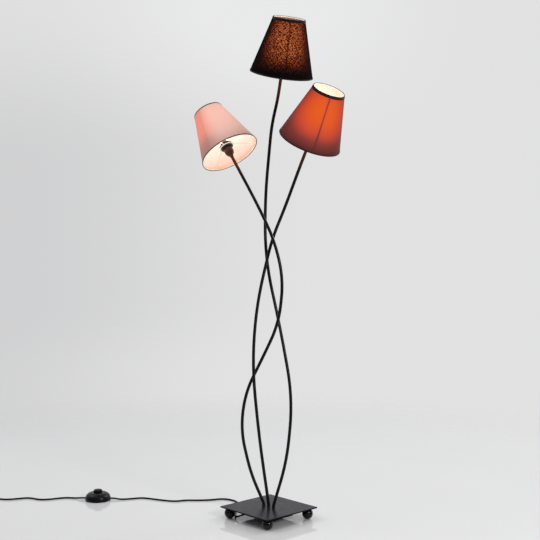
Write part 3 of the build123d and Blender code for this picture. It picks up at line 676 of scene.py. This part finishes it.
clothLooks = {
    "high": {
        "pitch": 0.0026,  # from yarn to yarn
        # from the gaps between the yarns to their tops
        "yarns": ((0.0057, 0.0047, 0.0057), (0.0133, 0.0104, 0.0133), (0.0304, 0.0247, 0.0285)),
        "denseYarn": 0.2,  # share of its colour that yarn keeps where no light comes through
        "yarnEvenness": 0.5,
        "glow": (  # from no light to full light
            (0.0, (0.0, 0.0, 0.0)), (0.15, (0.05, 0.012, 0.006)), (0.36, (0.30, 0.068, 0.018)),
            (0.62, (0.82, 0.22, 0.058)), (0.9, (1.0, 0.40, 0.14)),
        ),
        "glowFar": 0.129,  # from the bulb, where the light ends and where it is full
        "glowNear": 0.056,
        "speckle": (205.0, 0.455, 0.580, 0.0, 1.35),  # size, noise range, light let through
        "strength": 1.62,  # of the glow, raised for what the coat takes away
        "filter": (0.34, 0.235, 0.21),  # coat that darkens the cloth towards its outline
        "sides": 0.14,  # glow left a quarter of the way round from the seam
        "seamGlow": 0.5,  # glow left in the lap
        "besideSeam": (1.0, 1.0, 1.0),  # painted tint of the glow on one side of the seam, and glow left there low down
        "lowGlowBesideSeam": 1.0,
        "sheen": 0.08,
        "sheenColour": (0.30, 0.29, 0.36),
        "bump": 0.6,
        "hem": (0.004, 0.0035, 0.005),
        "hemTop": 0.0080,
    },
    "right": {
        "pitch": 0.0011,
        "yarns": ((0.055, 0.017, 0.016), (0.095, 0.028, 0.026), (0.13, 0.042, 0.038)),
        "denseYarn": 1.0,
        "yarnEvenness": 0.85,
        "glow": (
            (0.0, (0.045, 0.010, 0.010)), (0.3, (0.25, 0.042, 0.034)), (0.6, (0.78, 0.095, 0.034)),
            (0.85, (1.0, 0.138, 0.006)), (1.0, (1.0, 0.17, 0.002)),
        ),
        "glowFar": 0.138,
        "glowNear": 0.066,
        "speckle": (420.0, 0.35, 0.65, 0.90, 1.0),
        "strength": 1.0,
        "filter": (0.74, 0.62, 0.60),
        "sides": 0.58,
        "seamGlow": 0.45,
        "besideSeam": (1.0, 1.0, 1.0),
        "lowGlowBesideSeam": 1.0,
        "sheen": 0.3,
        "sheenColour": (0.70, 0.42, 0.46),
        "bump": 0.35,
        "hem": (0.024, 0.010, 0.011),
        "hemTop": 0.0085,
    },
    "left": {
        "pitch": 0.0011,
        "yarns": ((0.41, 0.285, 0.27), (0.51, 0.37, 0.352), (0.59, 0.45, 0.432)),
        "denseYarn": 1.0,
        "yarnEvenness": 0.9,
        "glow": (
            (0.0, (0.10, 0.045, 0.038)), (0.3, (0.27, 0.135, 0.105)), (0.6, (0.52, 0.285, 0.215)),
            (1.0, (0.73, 0.365, 0.265)),
        ),
        "glowFar": 0.176,
        "glowNear": 0.066,
        "speckle": (420.0, 0.35, 0.65, 0.94, 1.0),
        "strength": 1.0,
        "filter": (0.92, 0.89, 0.88),
        "sides": 0.92,
        "seamGlow": 0.78,
        "besideSeam": (1.06, 0.34, 0.14),
        "lowGlowBesideSeam": 0.22,
        "sheen": 0.3,
        "sheenColour": (0.95, 0.88, 0.86),
        "bump": 0.3,
        "hem": (0.10, 0.062, 0.062),
        "hemTop": 0.0040,
    },
}


clothMake = {  # what the three cloths share
    "roughness": 0.85,
    "specular": 0.25,
    "sheenRoughness": 0.45,
    "coatRoughness": 0.9,
    "coatIor": 1.04,
    "swaySize": 60.0,
    "swayDetail": 2.0,
    "sway": 1.6,  # how far a yarn wanders, in yarns
    "crossing": 0.2,  # how soon one yarn gives way to the other
    "slubThin": 0.09,  # width of a slub to its length
    "slubSize": 0.9,
    "slubDetail": 4.0,
    "slubRoughness": 0.65,
    "slubRange": (0.35, 0.65),
    "slubRelief": (0.6, 1.15),
    "speckDetail": 2.0,
    "speckRoughness": 0.9,
    "speckShare": 0.8,  # of the noise, and of the slubs
    "slubShare": 0.2,
    "yarnStops": (0.1, 0.55, 0.95),
    "relief": 0.25,  # depth of the weave, in yarns
    "lapInside": 0.0008,  # how soft the lap's edge is on each side
    "lapOutside": 0.0006,
    "seamShadow": (0.004, 0.012, 0.90),  # from, to, and glow left
    "sideTurns": (0.05, 0.25),  # turns from the seam
    "besideRise": (-0.26, -0.08),
    "besideFall": (-0.04, 0.10),
    "lowHeights": (0.05, 0.55),  # shares of the height
}


def weaveOf(tree, flat, look, make):
    # plain weave: two sets of yarns that pass over each other in turn
    links = {"Vector": flat, "Scale": make["swaySize"], "Detail": make["swayDetail"]}
    sway = addNode(tree, "ShaderNodeTexNoise", links).outputs["Color"]
    links = {0: sway, 1: (0.5, 0.5, 0.5)}
    sway = addNode(tree, "ShaderNodeVectorMath", links, operation="SUBTRACT").outputs[0]
    sway = scaled(tree, sway, make["sway"] * look["pitch"])
    yarnPlace = addNode(tree, "ShaderNodeVectorMath", {0: flat, 1: sway}, operation="ADD").outputs[0]
    yarnPlace = scaled(tree, yarnPlace, math.pi / look["pitch"])
    split = addNode(tree, "ShaderNodeSeparateXYZ", {0: yarnPlace})
    warp = math2(tree, "SINE", split.outputs["X"])
    weft = math2(tree, "SINE", split.outputs["Y"])
    crossing = make["crossing"]
    over = spread(tree, math2(tree, "MULTIPLY", warp, weft), -crossing, crossing, 0.0, 1.0, True)
    warpRise = math2(tree, "ABSOLUTE", warp)
    weftRise = math2(tree, "ABSOLUTE", weft)
    rise = mixOf(tree, over, weftRise, warpRise)
    thin = make["slubThin"]
    longWays = [addNode(tree, "ShaderNodeMapping", {"Vector": flat, "Scale": scale}).outputs[0]
                for scale in ((1.0, thin, 1.0), (thin, 1.0, 1.0))]
    size = make["slubSize"] / look["pitch"]
    slubs = [noiseOf(tree, longWay, size, make["slubDetail"], make["slubRoughness"]) for longWay in longWays]
    slub = mixOf(tree, over, slubs[1], slubs[0])
    even = look["yarnEvenness"]
    slub = spread(tree, slub, *make["slubRange"], even - 0.5, 1.5 - even)
    relief = math2(tree, "MULTIPLY", rise, spread(tree, slub, 0.0, 1.0, *make["slubRelief"]))
    return relief, slub


def lightThrough(tree, place, roundUv, through, look, bulbPlace, cut, make):
    # strongest near the bulb, less through the lap of the seam and round the sides
    distance = distanceTo(tree, place, tuple(bulbPlace))
    near = spread(tree, distance, look["glowFar"], look["glowNear"], 0.0, 1.0)
    counted = addNode(tree, "ShaderNodeSeparateXYZ", {0: roundUv})
    turns, height = counted.outputs["X"], counted.outputs["Y"]
    away = math2(tree, "ABSOLUTE", turns)
    links = {0: height, 1: cut["topRadius"] - cut["bottomRadius"], 2: cut["bottomRadius"]}
    radius = addNode(tree, "ShaderNodeMath", links, operation="MULTIPLY_ADD").outputs[0]
    fromSeam = math2(tree, "MULTIPLY", away, math2(tree, "MULTIPLY", radius, 2 * math.pi))
    lapFrom, lapTo = cut["seamHalf"] - make["lapInside"], cut["seamHalf"] + make["lapOutside"]
    lap = spread(tree, fromSeam, lapFrom, lapTo, look["seamGlow"], 1.0, True)
    shadowFrom, shadowTo, shadowGlow = make["seamShadow"]
    shadow = spread(tree, fromSeam, shadowFrom, shadowTo, shadowGlow, 1.0, True)
    side = spread(tree, away, *make["sideTurns"], 1.0, look["sides"], True)
    seam = math2(tree, "MULTIPLY", lap, shadow)
    nearSeam = math2(tree, "MULTIPLY", near, seam)
    light = math2(tree, "MULTIPLY", nearSeam, math2(tree, "MULTIPLY", side, through))
    # the painted glow is tinted on one side of the seam and dimmed there low down
    fall = spread(tree, turns, *make["besideFall"], 1.0, 0.0, True)
    rise = spread(tree, turns, *make["besideRise"], 0.0, 1.0, True)
    beside = math2(tree, "MULTIPLY", fall, rise)
    dimmed = spread(tree, height, *make["lowHeights"], look["lowGlowBesideSeam"], 1.0, True)
    light = math2(tree, "MULTIPLY", light, mixOf(tree, beside, 1.0, dimmed))
    lit = rampOf(tree, light, *look["glow"])
    return colourTimes(tree, beside, lit, (*look["besideSeam"], 1.0))


def clothMaterial(name, look, bulbPlace, cut, make):
    material, tree, shader = newMaterial(
        name, Roughness=make["roughness"], Specular_IOR_Level=make["specular"],
        Emission_Strength=look["strength"], Sheen_Weight=look["sheen"],
        Sheen_Roughness=make["sheenRoughness"], Sheen_Tint=(*look["sheenColour"], 1.0),
        Coat_Weight=1.0, Coat_Roughness=make["coatRoughness"], Coat_IOR=make["coatIor"],
        Coat_Tint=(*look["filter"], 1.0))
    flat = addNode(tree, "ShaderNodeUVMap", uv_map="clothFlat").outputs["UV"]
    roundUv = addNode(tree, "ShaderNodeUVMap", uv_map="clothRound").outputs["UV"]
    place = objectPlace(tree)
    relief, slub = weaveOf(tree, flat, look, make)

    # loose places in the weave let more light through and look paler
    size, low, high, dim, bright = look["speckle"]
    specks = noiseOf(tree, flat, size, make["speckDetail"], make["speckRoughness"])
    specks = math2(tree, "MULTIPLY", specks, make["speckShare"])
    loose = math2(tree, "ADD", specks, math2(tree, "MULTIPLY", slub, make["slubShare"]))
    through = spread(tree, loose, low, high, dim, bright)
    yarnColour = rampOf(tree, relief, *zip(make["yarnStops"], look["yarns"]))
    thinness = spread(tree, through, 0.0, 1.0, look["denseYarn"], 1.0)
    tree.links.new(colourTimes(tree, 1.0, yarnColour, thinness), shader.inputs["Base Color"])
    bumpOf(tree, shader, relief, look["bump"], look["pitch"] * make["relief"])
    glow = lightThrough(tree, place, roundUv, through, look, bulbPlace, cut, make)
    tree.links.new(glow, shader.inputs["Emission Color"])
    return material


# each lining glows with painted lamplight, set by its distance from the bulb
liningLooks = {
    "high": {
        "paper": (0.18, 0.11, 0.075),
        "glow": ((0.0, (0.26, 0.10, 0.05)), (0.4, (0.17, 0.08, 0.047)), (1.0, (0.17, 0.088, 0.054))),
        "far": 0.140, "near": 0.060,
    },
    "right": {
        "paper": (0.50, 0.45, 0.40),
        "glow": ((0.0, (0.46, 0.17, 0.08)), (0.35, (0.56, 0.34, 0.22)), (1.0, (0.70, 0.55, 0.42))),
        "far": 0.140, "near": 0.064,
    },
    "left": {
        "paper": (0.50, 0.45, 0.42),
        "glow": ((0.0, (0.60, 0.19, 0.06)), (0.09, (0.60, 0.26, 0.13)),
                 (0.17, (0.56, 0.38, 0.31)), (1.0, (0.62, 0.50, 0.44))),
        "far": 0.142, "near": 0.060,
    },
}


liningMake = {  # what the three linings share
    "roughness": 0.65,
    "specular": 0.15,
    "fibreSize": 260.0,
    "fibreDetail": 4.0,
    "fibreRoughness": 0.6,
    "darker": 0.93,
    "bump": 0.04,
    "bumpDepth": 0.0002,
}


def liningMaterial(name, look, bulbPlace, make):
    material, tree, shader = newMaterial(
        name, Roughness=make["roughness"], Specular_IOR_Level=make["specular"], Emission_Strength=1.0)
    place = objectPlace(tree)
    fibre = noiseOf(tree, place, make["fibreSize"], make["fibreDetail"], make["fibreRoughness"])
    mottle(tree, shader.inputs["Base Color"], fibre, shade(look["paper"], make["darker"]), look["paper"])
    # painted lamplight: the lining glows by its distance from the bulb
    distance = distanceTo(tree, place, tuple(bulbPlace))
    near = spread(tree, distance, look["far"], look["near"], 0.0, 1.0)
    tree.links.new(rampOf(tree, near, *look["glow"]), shader.inputs["Emission Color"])
    bumpOf(tree, shader, fibre, make["bump"], make["bumpDepth"])
    return material


hemMake = {  # what the hems' tapes share
    "roughness": 0.8,
    "specular": 0.2,
    "sheen": 0.12,
    "sheenRoughness": 0.4,
    "yarnSize": 700.0,
    "yarnDetail": 3.0,
    "yarnRoughness": 0.7,
    "darker": 0.6,
    "lighter": 1.5,
    "bump": 0.4,
    "bumpDepth": 0.0004,
}


def hemMaterial(name, colour, make):
    material, tree, shader = newMaterial(
        name, Roughness=make["roughness"], Specular_IOR_Level=make["specular"],
        Sheen_Weight=make["sheen"], Sheen_Roughness=make["sheenRoughness"])
    place = objectPlace(tree)
    yarn = noiseOf(tree, place, make["yarnSize"], make["yarnDetail"], make["yarnRoughness"])
    dark, light = shade(colour, make["darker"]), shade(colour, make["lighter"])
    mottle(tree, shader.inputs["Base Color"], yarn, dark, light)
    bumpOf(tree, shader, yarn, make["bump"], make["bumpDepth"])
    return material


def dressHead(key, head, cut):
    frameMatrix = headMatrix(head)
    seamMatrix = frameMatrix @ Matrix.Rotation(math.radians(head["seam"]), 4, "Z")
    bulbPlace = frameMatrix @ Vector((0, 0, bulbLook["station"]))
    look = clothLooks[key]
    title = key.title()
    outside = clothMaterial(f"cloth{title}", look, bulbPlace, cut, clothMake)
    inside = liningMaterial(f"lining{title}", liningLooks[key], bulbPlace, liningMake)
    cloth = shadeShell(f"shadeCloth{title}", cut, outside, inside)
    placeIn(cloth, seamMatrix)
    tape = hemMaterial(f"hem{title}", look["hem"], hemMake)
    hems = []
    for end, depth in (("Bottom", cut["hemBottom"]), ("Top", look["hemTop"])):
        hem = foldedHem(f"shadeHem{end}{title}", cut, end == "Top", depth)
        placeIn(hem, seamMatrix)
        wear(hem, tape)
        hems.append(hem)
    for piece in (cloth, *hems):
        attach(piece, f"shade_{key}")
    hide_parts(f"shade_panel_{key}")
    print("shade dressed:", key)


for key, head in heads.items():
    dressHead(key, head, shadeCut)


studio = {
    "floorColour": (0.695, 0.695, 0.695),
    "floorMiddle": (-0.25, 0.25, 0.0),
    "floorSolid": 1.0,  # radius that is all floor
    "floorReach": 2.4,  # radius where the backdrop has taken over
    "floorSpare": 0.3,
    "floorSides": 96,
    "floorRoughness": 0.06,
    "floorSpecular": 0.40,
    "floorPatch": 1.5,
    "floorVary": 0.015,
    "backLeft": (0.635, 0.637, 0.645),
    "backRight": (0.765, 0.765, 0.765),
    "backTop": (0.815, 0.817, 0.820),
    "backStops": (0.0, 0.71, 1.0),
    "acrossFrom": -0.28,  # where the left turns into the right
    "acrossTo": 0.02,
    "acrossShare": 0.66,
    "lowFrom": -0.06,  # below this the right reaches farther to the left
    "lowTo": -0.14,
    "lowBy": 0.07,
    "upFrom": 0.07,  # where the upper left turns into the top
    "upTo": 0.23,
    "upShare": 0.57,
    "upLeft": -0.10,  # and how far to the right it does
    "upRight": 0.20,
    "ambientColour": (0.97, 0.98, 1.0, 1.0),
    "ambientFront": 0.13,  # daylight level from the viewer's side, and what the top and the back add to it
    "ambientTop": 0.50,
    "ambientBack": 0.32,
    "ambientTopRange": (0.15, 0.8),
    "ambientBackRange": (-0.3, 0.5),
    "mirroredRange": (0.1, 0.5),  # only the backdrop behind the object shows in gloss
    "lights": [  # place, aim, size, watts
        ((1.90, -2.23, 1.50), (0.0, 0.0, 0.3), 0.5, 43.0),
        ((1.9, 1.5, 2.0), (0.0, 0.0, 0.3), 0.9, 20.0),
        ((-2.2, 0.4, 2.6), (0.0, 0.0, 0.7), 1.8, 22.0),
    ],
}


def addFloor(look):
    deselectAll()
    bpy.ops.mesh.primitive_circle_add(
        vertices=look["floorSides"], radius=look["floorReach"] + look["floorSpare"], fill_type="NGON",
        location=(*look["floorMiddle"][:2], 0))
    floor = bpy.context.object
    floor.name = "studioFloor"
    bpy.ops.object.transform_apply(location=True, rotation=True, scale=True)
    material, tree, shader = newMaterial("studioFloor", Roughness=look["floorRoughness"],
                                         Specular_IOR_Level=look["floorSpecular"])
    place = objectPlace(tree)
    tone = noiseOf(tree, place, look["floorPatch"])
    dark, light = (shade(look["floorColour"], 1 + vary) for vary in (-look["floorVary"], look["floorVary"]))
    mottle(tree, shader.inputs["Base Color"], tone, dark, light)
    away = distanceTo(tree, place, look["floorMiddle"])
    fade = spread(tree, away, look["floorSolid"], look["floorReach"], 0.0, 1.0, True)
    clear = addNode(tree, "ShaderNodeBsdfTransparent")
    mix = addNode(tree, "ShaderNodeMixShader", {0: fade, 1: shader.outputs[0], 2: clear.outputs[0]})
    tree.links.new(mix.outputs[0], tree.nodes["Material Output"].inputs["Surface"])
    wear(floor, material)


def addBackdrop(look):
    world = bpy.data.worlds.new("studioWorld")
    scene.world = world
    world.use_nodes = True
    tree = world.node_tree
    tree.nodes.clear()
    way = addNode(tree, "ShaderNodeTexCoord").outputs["Generated"]
    split = addNode(tree, "ShaderNodeSeparateXYZ", {0: way})
    across, deep, up = (split.outputs[axis] for axis in "XYZ")
    low = spread(tree, up, look["lowFrom"], look["lowTo"], 0.0, look["lowBy"], True)
    side = spread(tree, math2(tree, "ADD", across, low), look["acrossFrom"], look["acrossTo"],
                  0.0, look["acrossShare"], True)
    upper = spread(tree, up, look["upFrom"], look["upTo"], 0.0, look["upShare"], True)
    leftward = spread(tree, across, look["upLeft"], look["upRight"], 1.0, 0.0, True)
    high = math2(tree, "MULTIPLY", upper, leftward)
    colours = (look["backLeft"], look["backRight"], look["backTop"])
    wall = rampOf(tree, math2(tree, "ADD", side, high), *zip(look["backStops"], colours))
    seen = addNode(tree, "ShaderNodeBackground", {"Color": wall, "Strength": 1.0})

    # what lights the object, which is less than what is seen
    top = spread(tree, up, *look["ambientTopRange"], 0.0, look["ambientTop"], True)
    backLevel = look["ambientFront"] + look["ambientBack"]
    back = spread(tree, deep, *look["ambientBackRange"], look["ambientFront"], backLevel, True)
    links = {"Color": look["ambientColour"], "Strength": math2(tree, "ADD", top, back)}
    lit = addNode(tree, "ShaderNodeBackground", links)
    rays = addNode(tree, "ShaderNodeLightPath")
    behind = spread(tree, deep, *look["mirroredRange"], 0.0, 1.0, True)
    mirrored = math2(tree, "MULTIPLY", rays.outputs["Is Glossy Ray"], behind)
    indirect = math2(tree, "MAXIMUM", mirrored, rays.outputs["Is Transmission Ray"])
    direct = math2(tree, "MAXIMUM", rays.outputs["Is Camera Ray"], indirect)
    mix = addNode(tree, "ShaderNodeMixShader", {0: direct, 1: lit.outputs[0], 2: seen.outputs[0]})
    out = addNode(tree, "ShaderNodeOutputWorld", {"Surface": mix.outputs[0]})
    out.is_active_output = True


def addLamp(name, place, aim, size, watts, receivers):
    deselectAll()
    bpy.ops.object.light_add(type="AREA", location=place)
    lamp = bpy.context.object
    lamp.name = name
    lamp.data.shape = "DISK"
    lamp.data.size = size
    lamp.data.energy = watts
    lamp.rotation_euler = (Vector(aim) - Vector(place)).to_track_quat("-Z", "Y").to_euler()
    lamp.light_linking.receiver_collection = receivers
    return lamp


def addLights(look):
    # each lamp is doubled: one for the object, and one for the floor that isn't mirrored in it
    lists = {}
    for use, state in (("notOnFloor", "EXCLUDE"), ("onFloor", "INCLUDE")):
        lists[use] = bpy.data.collections.new(use)
        lists[use].objects.link(bpy.data.objects["studioFloor"])
        lists[use].collection_objects[0].light_linking.link_state = state
    for number, (place, aim, size, watts) in enumerate(look["lights"]):
        addLamp(f"softLight{number}", place, aim, size, watts, lists["notOnFloor"])
        floorLamp = addLamp(f"floorLight{number}", place, aim, size, watts, lists["onFloor"])
        floorLamp.visible_glossy = False


addFloor(studio)
addBackdrop(studio)
addLights(studio)
print("studio ready")
